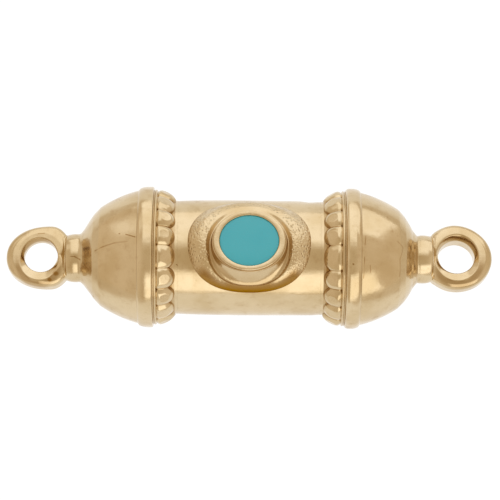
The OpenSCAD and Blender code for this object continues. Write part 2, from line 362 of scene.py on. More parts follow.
def make_piece(name, points, faces, material, node, painted_shade_and_stain=None):
    """A smooth mesh from points in millimetres about the axis, riding on the body in place of a CAD node.

    The last argument gives how brown each point is painted, from 0 to 1: painted shade and reflection in its
    grooves and hollows."""
    mesh = bpy.data.meshes.new(name)
    placed = (np.asarray(points) + (0, 0, AXIS_Z)) * MM
    mesh.from_pydata(placed.tolist(), [], [list(map(int, face)) for face in faces])
    mesh.validate()
    mesh.update()
    mesh.shade_smooth()
    if painted_shade_and_stain is not None:
        layer = mesh.attributes.new("painted_shade_and_stain", "FLOAT", "POINT")
        layer.data.foreach_set("value", np.clip(painted_shade_and_stain, 0, 1).astype(np.float32).ravel())
    piece = bpy.data.objects.new(name, mesh)
    bpy.context.scene.collection.objects.link(piece)
    mesh.materials.append(material)
    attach(piece, "root")
    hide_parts(node)


def turned_points(outline, radius_change):
    """A closed outline of (x, r) turned round the axis; radius_change(x, r, turn) is added to the radius."""
    turn = turns(AROUND)
    x = np.repeat(outline[:, :1], AROUND, 1)
    r = np.repeat(outline[:, 1:], AROUND, 1)
    r = r + radius_change(x, r, turn[None, :])
    return np.stack([x, r * np.sin(turn), r * np.cos(turn)], -1).reshape(-1, 3)


def mirrored(points, faces, side):
    """The same points and faces, or for the left side their mirror image across the middle of the bead."""
    if side == RIGHT:
        return points, faces
    return points * (-1, 1, 1), faces[:, ::-1]


def barrel_radius(x):
    """Radius of the barrel at a distance from its middle."""
    return BARREL_MID_R - (BARREL_MID_R - BARREL_END_R) * (x / SHOULDER_X) ** 2


def collar_radius(x):
    """Radius of the slightly rounded collars at a distance from the middle of the bead."""
    return COLLAR_R - COLLAR_FALL * (x - COLLAR_MIDDLE_X) ** 2


def barrel_unevenness(x, r, turn):
    """What polishing and a dent add to the barrel's radius: nothing inside, and nothing at its shoulders."""
    fade = smooth_step(SHOULDER_X, SHOULDER_X - 0.5, np.abs(x))
    along = ((x - DENT_X) / DENT_HALF_LEN) ** 2
    dent = DENT_DEPTH * np.exp(-along - ((turn - DENT_TURN) / DENT_HALF_TURN) ** 2)
    outside = r > BARREL_END_R - 0.002
    return (ripple(x, turn, BARREL_SEED, BARREL_RIPPLE) - dent) * fade * outside


def make_barrel(material):
    """A tube with a slight swell, with a seat and a bore inside the rings."""
    x = np.linspace(-SHOULDER_X + EDGE, SHOULDER_X - EDGE, BARREL_ROWS)
    x = np.concatenate([[-SHOULDER_X], x, [SHOULDER_X]])
    outside = np.stack([x, barrel_radius(x)], 1)
    seat_right = [(SHOULDER_X, SEAT_R), (BARREL_END_X, SEAT_R), (BARREL_END_X, BORE_R)]
    seat_left = [(-BARREL_END_X, BORE_R), (-BARREL_END_X, SEAT_R), (-SHOULDER_X, SEAT_R)]
    outline = np.vstack([outside, seat_right, seat_left])
    points = turned_points(outline, barrel_unevenness)
    faces = grid_faces(len(outline), AROUND, True)[:, ::-1]
    make_piece("barrel", points, faces, material, "tube_barrel")


def bead_surface(x, turn, side):
    """Radius of a beaded ring over (x, turn): rounded beads that touch, each with a small flat on top."""
    luck = np.random.RandomState(BEAD_SEED + side)
    shifts = GROOVE_SHIFTS[side]
    grooves = FIRST_GROOVE_DEG + 360 / BEADS * np.arange(BEADS + 1)
    grooves[:BEADS] += np.append(shifts, luck.uniform(-1, 1, BEADS - len(shifts)))
    grooves[-1] = grooves[0] + 360
    seen = (-np.degrees(turn) - CAMERA_LEAN_DEG - grooves[0]) % 360 + grooves[0]
    index = np.clip(np.searchsorted(grooves, seen, "right") - 1, 0, BEADS - 1)
    half = (grooves[index + 1] - grooves[index]) / 2
    off = seen - (grooves[index + 1] + grooves[index]) / 2

    across = BEAD_CUT * np.abs(off) / half
    foot_x = BEAD_MIDDLE_X - BEAD_FOOT_X + luck.uniform(-0.03, 0.03, BEADS)[index]
    along = np.abs(x - BEAD_MIDDLE_X) / np.where(x < BEAD_MIDDLE_X, foot_x, BEAD_END_X - BEAD_MIDDLE_X)
    squareness = np.where(x < BEAD_MIDDLE_X, *BEAD_SQUARENESS)
    reach = (along**squareness + across**squareness) ** (1 / squareness)
    height = BEAD_HEIGHT + luck.uniform(-0.02, 0.012, BEADS)[index]
    pillow = height * np.sqrt(np.clip(1 - reach**2, 0, 1))
    sleeve = BARREL_END_R + SLEEVE_RISE * np.maximum(x - BEAD_FOOT_X, 0)
    beads = sleeve + pillow

    flat_x = FLATS_X[side] + luck.uniform(-0.04, 0.04, BEADS)[index]
    before = (BEAD_MIDDLE_X - flat_x) / foot_x
    level = np.sqrt(1 - before**2)
    tilt_x = SLEEVE_RISE + height * before / (foot_x * level) + luck.uniform(-0.05, 0.05, BEADS)[index]
    tilt_turn = luck.uniform(-0.08, 0.08, BEADS)[index]
    top = BARREL_END_R + SLEEVE_RISE * (flat_x - BEAD_FOOT_X) + height * level - FLAT_DEPTH
    flat = (top + tilt_x * (x - flat_x) + tilt_turn * np.radians(off) * top) / np.cos(np.radians(off))
    beads = smooth_min(beads, flat, FLAT_EDGE)

    inside_lip = np.clip(1 - np.abs((x - RING_LIP_X) / RING_LIP_HALF) ** RING_LIP_SQUARENESS, 0, 1)
    lip = RING_LIP_FOOT_R + RING_LIP_HEIGHT * inside_lip ** (1 / RING_LIP_SQUARENESS)
    return np.maximum(smooth_max(sleeve, beads, BEAD_FOOT_ROUND), lip * (x > RING_LIP_X - RING_LIP_HALF))


def bead_painted_shade(x, radius, side, turn):
    """How brown a beaded ring is painted: painted shade and reflection between the beads, round their feet
    and beside the rim.
    """
    above = radius - BARREL_END_R - SLEEVE_RISE * np.maximum(x - BEAD_FOOT_X, 0)
    beside = smooth_step(0.26, 0.06, above) * smooth_step(BEAD_FOOT_X, BEAD_FOOT_X + 0.25, x)
    feet = 0.45 * smooth_step(0.30, 0.12, above) * smooth_step(BEAD_FOOT_X - 0.02, BEAD_FOOT_X + 0.02, x)
    valley = 0.15 * smooth_step(RING_LIP_X - RING_LIP_HALF, RING_LIP_X, x)
    patchy = 0.75 + 0.25 * np.sin(7 * turn + 2 * side) * np.sin(3 * turn)
    return np.maximum(np.maximum(beside, feet), valley) * patchy


def make_beaded_ring(name, node, side, material):
    """A ring of touching beads with a thin lip beside the cap, on a sleeve that carries on the barrel."""
    around = BEADS * BEAD_COLUMNS
    turn = turns(around)
    start_x = SHOULDER_X + 0.002
    groove_end_x = CAP_START_X - 0.004
    x = np.concatenate([[start_x, start_x + EDGE], np.linspace(BEAD_FOOT_X - 0.06, RING_END_X, BEAD_ROWS)])
    radius = bead_surface(x[:, None], turn[None, :], side)
    socket, *back = (np.full(around, r) for r in (SOCKET_R, *RING_BACK_RADII))
    all_x = np.concatenate([[start_x], x, [RING_END_X + 0.008, groove_end_x, groove_end_x]])
    all_r = np.vstack([socket, radius, *back, socket])
    points = np.stack([np.repeat(all_x[:, None], around, 1), all_r * np.sin(turn), all_r * np.cos(turn)], -1)
    # Painted shade and reflection in the ring's grooves, round the bead feet and beside the rim
    painted_shade_and_stain = bead_painted_shade(all_x[:, None], all_r, side, turn[None, :])
    faces = grid_faces(len(all_x), around, True)[:, ::-1]
    points, faces = mirrored(points.reshape(-1, 3), faces, side)
    make_piece(name, points, faces, material, node, painted_shade_and_stain)


def end_bend(side, x):
    """How far the cap's end and the loop sit to the front of the tube's axis at a place along it."""
    return np.interp(x, *END_BENDS[side])


def rim_side(top_x, foot_x, high, squareness):
    """A quarter of a squared oval, from the rim's top down one of its sides."""
    turn = np.radians(np.linspace(0, 90, 60))
    drop = high * (1 - np.cos(turn) ** (2 / squareness))
    return np.stack([top_x + (foot_x - top_x) * np.sin(turn) ** (2 / squareness), RIM_R - drop], 1)


def cap_outline(side):
    """The closed outline of a cap: rolled rim, domed wall, end cone, lip on the collar, and hollow."""
    squareness = RIM_SQUARENESS[side]
    bead_side = rim_side(RIM_X[side], CAP_START_X, RIM_HIGH[0], squareness[0])
    dome_side = rim_side(RIM_X[side], DOME_FOOT[0], RIM_HIGH[1], squareness[1])
    dome = arc_between(DOME_FOOT, DOME_SHOULDER, DOME_ROUND)
    outside = np.vstack([[(CAP_START_X, SOCKET_R)], bead_side[::-1], dome_side[1:], dome, CONES[side]])
    outside = softened(outside, CORNER_WEAR)
    collar = np.where(outside[:, 0] > CONE_FILLET_X, collar_radius(outside[:, 0]), 0)
    outside[:, 1] = smooth_max(outside[:, 1], collar, CONE_FILLET)
    outside = thinned(outside[outside[:, 0] < CAP_LIP_END_X - 0.02], bend_deg=2.0, longest=0.14)

    # The lip ends in a fine step down to the collar
    lip_x = np.array([CAP_LIP_END_X - EDGE, CAP_LIP_END_X])
    lip = np.stack([lip_x, collar_radius(lip_x) + 0.002], 1)
    end = [*lip, (CAP_LIP_END_X, lip[-1, 1] - 0.006), (CAP_END_X, collar_radius(CAP_END_X) - 0.02)]
    inside = [(CAP_END_X, STEM_R + STEM_GAP), (HOLLOW_END_X, STEM_R + STEM_GAP),
              (HOLLOW_END_X, HEAD_R + STEM_GAP), HOLLOW_SHOULDER, *HOLLOW_WALL]
    return np.vstack([outside, end, resampled(inside, 0.1)[:-1]])


def make_cap(name, node, side, material):
    """An end cap, turned, a little uneven from polishing, with the flat that it rests on."""
    outline = cap_outline(side)

    def unevenness(x, r, turn):
        skin = smooth_step(SOCKET_R, SOCKET_R + 0.3, r + (x - RIM_X[side]) * 0.35)
        fade = smooth_step(CAP_END_X, CAP_END_X - 0.6, x)
        return ripple(x, turn, CAP_SEED + side, CAP_RIPPLE) * skin * fade

    points = turned_points(outline, unevenness)
    points[:, 1] -= end_bend(side, points[:, 0])
    points[:, 2] = np.clip(points[:, 2], -AXIS_Z, RIM_R)
    faces = grid_faces(len(outline), AROUND, True)[:, ::-1]
    points, faces = mirrored(points, faces, side)
    make_piece(name, points, faces, material, node)


def loop_radius(side):
    """Polar outline of a loop about its hole's middle: angles from outwards, and radii."""
    shape, hole = LOOP_OUTLINES[side], LOOP_HOLES[side]
    turn = np.linspace(0, math.pi / 2, 200)
    power = 2 / shape["bulge"]
    outer_x = shape["wide_x"] + (END_X - shape["wide_x"]) * np.cos(turn) ** power
    outer_y = shape["half_w"] * np.sin(turn) ** power
    root_x = COLLAR_END_X - 0.06
    inner_x = np.linspace(shape["wide_x"], root_x, 120)[1:]
    share = (shape["wide_x"] - inner_x) / (shape["wide_x"] - root_x)
    inner_y = shape["half_w"] * (1 - (1 - shape["root_share"]) * share ** shape["fall"])
    x = np.concatenate([outer_x, inner_x, [root_x]]) - hole["x"]
    y = np.concatenate([outer_y, inner_y, [0]])
    angle, radius = np.arctan2(y, x), np.hypot(x, y)
    order = np.argsort(angle)
    return angle[order], radius[order]


def rounded_box(edge_a, edge_b, radius):
    """The distance to two faces that meet in a rounded edge."""
    a, b = edge_a + radius, edge_b + radius
    return np.hypot(np.maximum(a, 0), np.maximum(b, 0)) + np.minimum(np.maximum(a, b), 0) - radius


def bevel_reach(side, out, y):
    """1 on the ridge where a loop's bevel meets its face, less towards the hole; from the hole's middle."""
    at, ridge = LOOP_HOLES[side]["ridge_at"], LOOP_HOLES[side]["ridge"]
    return np.hypot((out - at[0]) / ridge[0], (y + at[1]) / ridge[1])


def loop_painted_shade(side, points):
    """How brown a loop is painted: painted shade and reflection on its bevel's ridge and just outside it in
    front, and in its bevel behind.
    """
    x, y, z = points.T
    out, y = x - LOOP_HOLES[side]["x"], y + end_bend(side, x)
    beyond = bevel_reach(side, out, y) - 1
    angle = np.arctan2(y, out)
    to_back = y / np.maximum(np.hypot(out, y), 0.01)
    upper = smooth_step(-0.1, 0.4, z) * smooth_step(COLLAR_END_X, COLLAR_END_X + 0.4, x)
    slope = 0.42 * smooth_step(-0.01, 0.03, beyond) * smooth_step(0.34, 0.16, beyond)
    slope *= smooth_step(0.2, -0.5, to_back)
    # Uneven strength of the painted shade along the bevel's ridge
    ridge_variation = 0.5 + 0.5 * np.sin(9 * angle + 2 * side) * np.sin(4 * angle)
    ridge = 0.95 * ridge_variation * smooth_step(0.04, 0.0, np.abs(beyond)) * smooth_step(-0.3, -0.8, to_back)
    back_shade, lowest = LOOP_HOLES[side]["back_shade"]
    behind = back_shade * smooth_step(0.04, 0.0, beyond) * smooth_step(-0.1, 0.5, to_back)
    behind *= smooth_step(lowest - 0.1, lowest + 0.1, z)
    return np.maximum(np.maximum(slope, ridge), behind) * upper


def ring_field(side, x, y, z):
    """Roughly the distance to the skin of a loop without its collar: negative inside."""
    hole = LOOP_HOLES[side]
    angles, radii = loop_radius(side)
    out = x - hole["x"]
    reach = np.maximum(np.hypot(out, y), 0.01)
    across = np.arctan2(np.abs(y), out)
    to_back = y / reach
    outline = np.interp(across, angles, radii)
    slope = np.interp(across, angles, np.gradient(radii, angles + 1e-6 * np.arange(len(angles)))) / outline
    outside = (reach - outline) / np.sqrt(1 + np.minimum(slope**2, 4))
    front = smooth_step(0.2, 0.9, -to_back)
    fall = LOOP_FALL + LOOP_FALL_FRONT * front
    half_thick = LOOP_THICK / 2 - fall * np.clip(reach - LOOP_FALL_START, 0, 1)
    plate = rounded_box(outside, np.abs(z) - half_thick, LOOP_ROUND - LOOP_SHARPER * front)

    hole_reach = np.hypot(out / hole["r"][0], y / hole["r"][1])
    ridge_reach = bevel_reach(side, out, y)
    far_high, near_high, low = hole["land"]
    high = near_high + (far_high - near_high) * smooth_step(-0.4, 0.7, to_back)
    rise = np.clip((z - high) / (LOOP_THICK / 2 - high), 0, 1.4)
    bore = (1 - hole_reach - (ridge_reach - hole_reach) * rise) * hole["r"][1] + 0.5 * np.maximum(low - z, 0)
    return smooth_max(plate, bore, BEVEL_FILLET)


def loop_field(side, x, y, z):
    """Roughly the distance to the skin of a loop with its collar and stem: negative inside."""
    y = y + end_bend(side, x)
    from_axis = np.hypot(y, z)
    collar = rounded_box(from_axis - collar_radius(x), x - COLLAR_END_X, COLLAR_ROUND)
    collar = np.maximum(collar, CAP_END_X + 0.01 - x)
    stem = np.maximum(from_axis - STEM_R, np.abs(x - STEM_MIDDLE_X) - STEM_HALF_LEN)
    head = np.maximum(from_axis - HEAD_R, np.abs(x - HEAD_MIDDLE_X) - HEAD_HALF_LEN)
    held = np.minimum(np.minimum(collar, stem), head)
    return smooth_min(ring_field(side, x, y, z), held, NECK_FILLET)


def skin_cells(value):
    """The cells of a grid of values that zero runs through, with the middle of its crossings in each.

    The result is which cells they are, their places, and the middles as shares of a cell."""
    inside = value < 0
    counts = np.zeros([n - 1 for n in value.shape], int)
    total = np.zeros(counts.shape + (3,))
    crossed = np.zeros(counts.shape, int)

    def corner(array, c):
        return array[tuple(slice(o, n - 1 + o) for o, n in zip(c, value.shape))]

    for c in [(i, j, k) for i in (0, 1) for j in (0, 1) for k in (0, 1)]:
        counts += corner(inside, c)
        for axis in range(3):
            if c[axis]:
                continue
            other = tuple(o + (k == axis) for k, o in enumerate(c))
            a, b = corner(value, c), corner(value, other)
            hit = (a < 0) != (b < 0)
            part = np.where(hit, a / np.where(hit, a - b, 1), 0)
            place = np.array(c, float)[None, None, None, :] * hit[..., None]
            place[..., axis] += part
            total += place
            crossed += hit
    used = (counts > 0) & (counts < 8)
    return used, np.argwhere(used), total[used] / crossed[used][:, None]


def skin_quads(inside, used):
    """Quads between the used cells, one round each grid edge that the skin crosses."""
    number = np.full(used.shape, -1)
    number[used] = np.arange(used.sum())
    faces = []
    for axis in range(3):
        one, two = (axis + 1) % 3, (axis + 2) % 3
        first = np.moveaxis(inside, (axis, one, two), (0, 1, 2))
        cell_number = np.moveaxis(number, (axis, one, two), (0, 1, 2))
        change = first[1:, 1:-1, 1:-1].astype(int) - first[:-1, 1:-1, 1:-1]
        for sign in (1, -1):
            i, j, k = np.nonzero(change == sign)
            quad = [cell_number[i, j + dj, k + dk] for dj, dk in ((0, 0), (1, 0), (1, 1), (0, 1))]
            faces.append(np.stack(quad if sign < 0 else quad[::-1], 1))
    return np.vstack(faces)


def skin_of(field, low, high, cell):
    """Points and quads on the surface where a field is zero, found cell by cell on a regular grid."""
    axes = [np.arange(a, b + cell, cell) for a, b in zip(low, high)]
    value = field(*np.meshgrid(*axes, indexing="ij", sparse=True))
    used, cells, middles = skin_cells(value)
    points = np.array(low) + cell * (cells + middles)
    faces = skin_quads(value < 0, used)

    # The points are then drawn onto the surface itself
    step = cell * 0.02
    for _ in range(3):
        here = field(*points.T)
        slope = [(field(*(points + shift).T) - field(*(points - shift).T)) / (2 * step)
                 for shift in np.eye(3) * step]
        slope = np.stack(slope, 1)
        move = here[:, None] * slope / np.maximum((slope**2).sum(1), 0.2)[:, None]
        points = points - np.clip(move, -cell / 2, cell / 2)
    return points, faces


def make_loop(name, node, side, material):
    """A loop in one piece with its collar and the stem that is riveted inside the cap."""
    cell = CELL
    points, faces = skin_of(lambda *place: loop_field(side, *place), *LOOP_BOX, cell)
    # Painted shade and reflection on the loop's bevel and in its hole
    painted_shade_and_stain = loop_painted_shade(side, points)
    points, faces = mirrored(points, faces, side)
    make_piece(name, points, faces, material, node, painted_shade_and_stain)


def wrapped_row(half_len, wrap_deg, lift_end, lift_side, fullness):
    """An oval wrapped round the barrel, with its height over the barrel at its ends and its sides.

    The fullness at the front and at the back is 2 for an oval, and more for one nearer to a rectangle."""
    turn = turns(BEZEL_AROUND)
    c, s = np.cos(turn), np.sin(turn)
    power = 2 / np.where(s < 0, *fullness)
    x = half_len * np.sign(c) * np.abs(c) ** power
    lean = np.radians(wrap_deg) * np.sign(s) * np.abs(s) ** power
    r = barrel_radius(x) + lift_end * c**2 + lift_side * s**2
    return np.stack([x, r * np.sin(lean), r * np.cos(lean)], 1)


def level_row(half_len, half_w, z, around=BEZEL_AROUND):
    """An oval at one height."""
    turn = turns(around)
    return np.stack([half_len * np.cos(turn), half_w * np.sin(turn), np.full(around, z)], 1)


def spun(rows, degrees):
    """Rows of points turned about the tube's axis, towards the back."""
    c, s = math.cos(math.radians(degrees)), math.sin(math.radians(degrees))
    x, y, z = rows.T
    return np.stack([x, y * c + z * s, z * c - y * s], 1)


def bezel_painted_shade():
    """How brown each of the bezel's rows is painted, from the saddle's foot into the pocket, round the
    bezel: painted shade and reflection at the saddle's foot, in its gutter, on the skirt and round the ring.
    """
    turn = turns(BEZEL_AROUND)
    c, s = np.cos(turn), np.sin(turn)
    row_shades = [row[-3:] for row in SADDLE_ROWS + SKIRT_ROWS + RING_ROWS] + [POCKET_SHADE]
    ends, front, middle = np.array(row_shades, float).T[:, :, None]
    painted_shade_and_stain = np.maximum(ends * smooth_step(0.70, 0.97, np.abs(c)), front * smooth_step(0.40, 0.66, -s))
    return np.maximum(painted_shade_and_stain, middle * smooth_step(0.80, 0.95, -s))


def worn_rows(rows):
    """The bezel's rows with more rows between them and the corners from row to row worn round."""
    steps = np.linspace(0, len(rows) - 1, (len(rows) - 1) * BEZEL_FINE + 1)
    low = np.minimum(steps.astype(int), len(rows) - 2)
    part = (steps - low)[:, None, None]
    dense = rows[low] * (1 - part) + rows[low + 1] * part
    weights = np.exp(-0.5 * (np.arange(-BEZEL_FINE, BEZEL_FINE + 1) / BEZEL_WEAR) ** 2)
    weights /= weights.sum()
    padded = np.concatenate([dense[:1]] * BEZEL_FINE + [dense] + [dense[-1:]] * BEZEL_FINE)
    return sum(w * padded[k:k + len(dense)] for k, w in enumerate(weights))


def make_bezel(material):
    """Saddle, skirt and ring of the bezel in one piece, with a riveted post through the barrel."""
    post = [level_row(r, r, z) for r, z in POST]
    underside = [wrapped_row(half_len, wrap, UNDERSIDE_LIFT, UNDERSIDE_LIFT, OVAL)
                 for half_len, wrap in UNDERSIDE]
    saddle = [spun(wrapped_row(half_len, wrap, lift_end, lift_side, SADDLE_FULLNESS), lean)
              for half_len, wrap, lift_end, lift_side, lean, *_ in SADDLE_ROWS]
    width = np.subtract(RING_OUTSIDE, RING_INSIDE)
    ring = [level_row(*(RING_OUTSIDE - width * inwards), BEZEL_TOP - depth)
            for inwards, depth, *_ in RING_ROWS]
    turn = turns(BEZEL_AROUND)
    skirt = []
    for plan_end, plan_side, rise, *_ in SKIRT_ROWS:
        plan = plan_end * np.cos(turn) ** 2 + plan_side * np.sin(turn) ** 2
        share = np.stack([plan, plan, np.full(BEZEL_AROUND, rise)], 1)
        skirt.append(saddle[-1] + (ring[0] - saddle[-1]) * share)
    pocket = [level_row(*RING_INSIDE, ENAMEL_TOP - POCKET_DEPTH)]
    # The painted shade and reflection of each row rides along with its points
    outer = np.concatenate([saddle + skirt + ring + pocket, bezel_painted_shade()[:, :, None]], 2)
    outer = worn_rows(outer)

    inner = np.array(post + underside)
    floor = level_row(0.0, 0.0, ENAMEL_TOP - POCKET_DEPTH)[None]
    rows = np.concatenate([inner, outer[:, :, :3], floor])
    painted_shade_and_stain = np.concatenate([np.zeros(inner.shape[:2]), outer[:, :, 3], np.zeros((1, BEZEL_AROUND))])
    faces = grid_faces(len(rows), BEZEL_AROUND, False)
    make_piece("bezel", rows.reshape(-1, 3), faces, material, "bezel_setting", painted_shade_and_stain)


def make_enamel(material):
    """The enamel in its pocket, flat, with an edge that is just rounded."""
    half_len, half_w = ENAMEL_HALF
    rows = np.array([level_row(half_len * share, half_w * share, ENAMEL_TOP + z, ENAMEL_AROUND)
                     for share, z in ENAMEL_OUTLINE])
    faces = grid_faces(len(rows), ENAMEL_AROUND, False)
    make_piece("enamel", rows.reshape(-1, 3), faces, material, "enamel_inlay")


class Nodes:
    """Short ways to add and link shader nodes."""

    def __init__(self, tree):
        self.tree = tree
        self.tree.nodes.clear()

    def add(self, kind, inputs=None, **settings):
        """Adds a node with its settings, and feeds its inputs, which are given by name or number."""
        node = self.tree.nodes.new(kind)
        for key, value in settings.items():
            setattr(node, key, value)
        for key, value in (inputs or {}).items():
            self.feed(node.inputs[key], value)
        return node

    def feed(self, socket, value):
        """Links an output to a socket, or sets the socket's own value."""
        if isinstance(value, bpy.types.NodeSocket):
            self.tree.links.new(value, socket)
        else:
            socket.default_value = value

    def finish(self, kind, shader):
        """Links a shader to the tree's output."""
        self.add(kind, {"Surface": shader.outputs[0]})

    def math(self, operation, a, b=0.0):
        return self.add("ShaderNodeMath", {0: a, 1: b}, operation=operation).outputs[0]

    def split(self, vector):
        """The three parts of a vector."""
        return self.add("ShaderNodeSeparateXYZ", {0: vector}).outputs

    def noise(self, vector, scale, detail=3.0, roughness=0.5, stretch=None):
        if stretch:
            vector = self.add("ShaderNodeMapping", {"Vector": vector, "Scale": stretch}).outputs[0]
        inputs = {"Vector": vector, "Scale": scale, "Detail": detail, "Roughness": roughness}
        return self.add("ShaderNodeTexNoise", inputs).outputs["Fac"]

    def pits(self, vector, scale):
        """Round pits at uneven places: 0 in their middles and 1 between them."""
        node = self.add("ShaderNodeTexVoronoi", {"Vector": vector, "Scale": scale})
        return self.remap(node.outputs["Distance"], 0.1, 0.42)

    def remap(self, value, low, high, to_low=0.0, to_high=1.0, smooth=True):
        kind = "SMOOTHSTEP" if smooth else "LINEAR"
        inputs = dict(enumerate((value, low, high, to_low, to_high)))
        return self.add("ShaderNodeMapRange", inputs, interpolation_type=kind).outputs[0]

    def blend(self, share, one, two):
        return self.add("ShaderNodeMix", {0: share, 6: one, 7: two}, data_type="RGBA").outputs[2]

    def vector(self, operation, a, b, output="Vector"):
        inputs = {0: a, "Scale" if operation == "SCALE" else 1: b}
        return self.add("ShaderNodeVectorMath", inputs, operation=operation).outputs[output]

    def near_line(self, place, start, end, half_width):
        """1 on a straight line between two points, falling to 0 at half its width."""
        start, along = Vector(start), Vector(end) - Vector(start)
        from_start = self.vector("SUBTRACT", place, start)
        share = self.vector("DOT_PRODUCT", from_start, along / along.length_squared, output="Value")
        share = self.remap(share, 0, 1, smooth=False)
        nearest = self.vector("SCALE", along, share)
        away = self.vector("DISTANCE", from_start, nearest, output="Value")
        return self.remap(away, half_width, half_width * 0.3)

    def bump(self, height, distance, strength=1.0, normal=None):
        inputs = {"Strength": strength, "Distance": distance, "Height": height}
        if normal is not None:
            inputs["Normal"] = normal
        return self.add("ShaderNodeBump", inputs).outputs[0]


WHITE = (1, 1, 1, 1)
GOLD = (0.66, 0.52, 0.32, 1)
DEEP_GOLD = (0.58, 0.435, 0.24, 1)
# Brown painted in as shade and reflection in hollows and grooves, also the colour of patches and marks, and
# the tint of the gold's reflection there
SHADE_AND_STAIN_BROWN = (0.33, 0.175, 0.045, 1)
SHADE_AND_STAIN_TINT = (0.60, 0.42, 0.22, 1)
TURQUOISE = (0.048, 0.385, 0.47, 1)
LIGHT_TURQUOISE = (0.054, 0.395, 0.475, 1)

# How fine the gold's patterns are, in features per metre
TONE_SCALE = 420
HAIRLINE_SCALE = 700
GLOSS_SCALE = 900
PEEL_SCALE = 1300
PATCH_SCALE = 1500
PIT_SCALE = 5500
GRAIN_SCALE = 6000
# How deep they are, in millimetres, and how the hairlines are drawn out along the tube
HAIRLINE_DEPTH = 0.004
PEEL_DEPTH = 0.012
PIT_DEPTH = 0.03
GRAIN_DEPTH = 0.045
HAIRLINE_STRETCH = (0.25, 3.0, 3.0)
# Roughness of the polished gold, from its glossiest places to its dullest, and what the cast skin adds
ROUGHNESS = (0.11, 0.21)
CAST_ROUGHNESS = 0.08
# The enamel's clouds and waves, in features per metre, the depth of its waves, and its roughness
CLOUD_SCALE = 600
WAVE_SCALE = 300
WAVE_DEPTH = 0.004
ENAMEL_ROUGHNESS = 0.16
# Half length and half width of the smooth middle of the bezel, inside its pitted saddle
STIPPLE_OVAL = (2.93, 2.95)
# How strong the cast skin is on that smooth middle and at the front of the saddle
STIPPLE_MIDDLE = 0.06
STIPPLE_FRONT = 0.25

# Marks in the skin: from and to, each as a place along the tube, a lean to the front in degrees and a
# distance from the tube's axis, then half width, and how dark
MARKS = [
    ((-5.00, 21.5, 3.97), (-4.93, 22.3, 3.97), 0.05, 0.9),
    ((7.12, 18.4, 4.93), (7.14, 18.7, 4.93), 0.09, 0.9),
    ((-10.65, 7.4, 3.23), (-10.06, 3.6, 3.69), 0.07, 0.7),
    ((-10.06, 3.6, 3.69), (-9.24, 0.9, 4.09), 0.08, 0.5),
    ((-9.24, 0.9, 4.09), (-8.40, 0.6, 4.42), 0.10, 0.3),
    ((-8.49, -6.1, 4.41), (-7.85, -2.9, 4.63), 0.06, 0.8),
    ((-8.96, -7.6, 4.24), (-8.93, -7.5, 4.25), 0.06, 0.9),
    ((-10.90, 82.0, 3.00), (-10.85, 83.0, 3.00), 0.10, 0.8),
    ((-12.66, 14.4, 1.725), (-12.15, 14.8, 1.725), 0.045, 0.85),
    ((-12.15, 14.8, 1.725), (-11.75, 22.0, 1.80), 0.08, 0.75),
    ((-14.80, -55.8, 1.66), (-14.35, -56.5, 1.68), 0.05, 0.6),
    ((-13.50, 58.5, 1.74), (-13.28, 67.5, 1.48), 0.27, 1.0),
    ((-13.92, 64.6, 2.14), (-13.84, 73.4, 1.92), 0.24, 1.0),
    ((7.86, 31.0, 4.66), (7.92, 12.0, 4.66), 0.05, 0.7),
    ((7.95, 2.0, 4.62), (8.00, -6.0, 4.62), 0.06, 0.6),
    ((8.30, 20.0, 4.50), (8.34, 26.0, 4.50), 0.05, 0.5),
    ((9.52, -33.0, 3.96), (9.89, -15.4, 3.78), 0.08, 0.3),
    ((10.23, -5.6, 3.59), (10.62, -0.1, 3.27), 0.06, 0.4),
    ((10.62, -0.1, 3.27), (10.40, 14.5, 3.48), 0.06, 0.4),
    ((10.40, 14.5, 3.48), (10.41, 34.1, 3.47), 0.08, 0.35),
]


def new_material(name):
    """A material with its nodes, the place on the piece as an output, and its shader."""
    material = bpy.data.materials.new(name)
    material.use_nodes = True
    nodes = Nodes(material.node_tree)
    place = nodes.add("ShaderNodeTexCoord").outputs["Object"]
    shader = nodes.add("ShaderNodeBsdfPrincipled")
    nodes.finish("ShaderNodeOutputMaterial", shader)
    return material, nodes, place, shader


def skin_point(x, lean_deg, radius):
    """The point at a place along the tube, a lean to the front in degrees, and a distance from the axis."""
    lean = math.radians(lean_deg)
    return Vector((x, -radius * math.sin(lean), AXIS_Z + radius * math.cos(lean))) * MM


def cast_share(nodes, place):
    """How much of the cast skin shows: none on the bezel's middle, and little at the saddle's front."""
    x, y, _ = nodes.split(place)
    along = nodes.math("DIVIDE", x, STIPPLE_OVAL[0] * MM)
    across = nodes.math("DIVIDE", y, STIPPLE_OVAL[1] * MM)
    smooth_front = nodes.remap(across, -0.7, -0.35, STIPPLE_FRONT, 1.0)
    reach = nodes.math("ADD", nodes.math("POWER", along, 2.0), nodes.math("POWER", across, 2.0))
    return nodes.math("MULTIPLY", nodes.remap(reach, 0.9, 1.05), smooth_front)


def gold_shade_and_stain(nodes, place, marked):
    """How brown the gold is: the painted shade and reflection that each mesh carries, faint patches, and on
    marked parts the single marks.
    """
    painted_shade_and_stain = nodes.add("ShaderNodeAttribute", attribute_name="painted_shade_and_stain").outputs["Fac"]
    patches = nodes.remap(nodes.noise(place, PATCH_SCALE, 4, 0.65), 0.50, 0.78, 0.0, 0.24)
    painted_shade_and_stain = nodes.math("MAXIMUM", painted_shade_and_stain, patches)
    for start, end, half_width, strength in MARKS if marked else []:
        mark = nodes.near_line(place, skin_point(*start), skin_point(*end), half_width * MM)
        painted_shade_and_stain = nodes.math("MAXIMUM", painted_shade_and_stain, nodes.math("MULTIPLY", mark, strength))
    return painted_shade_and_stain


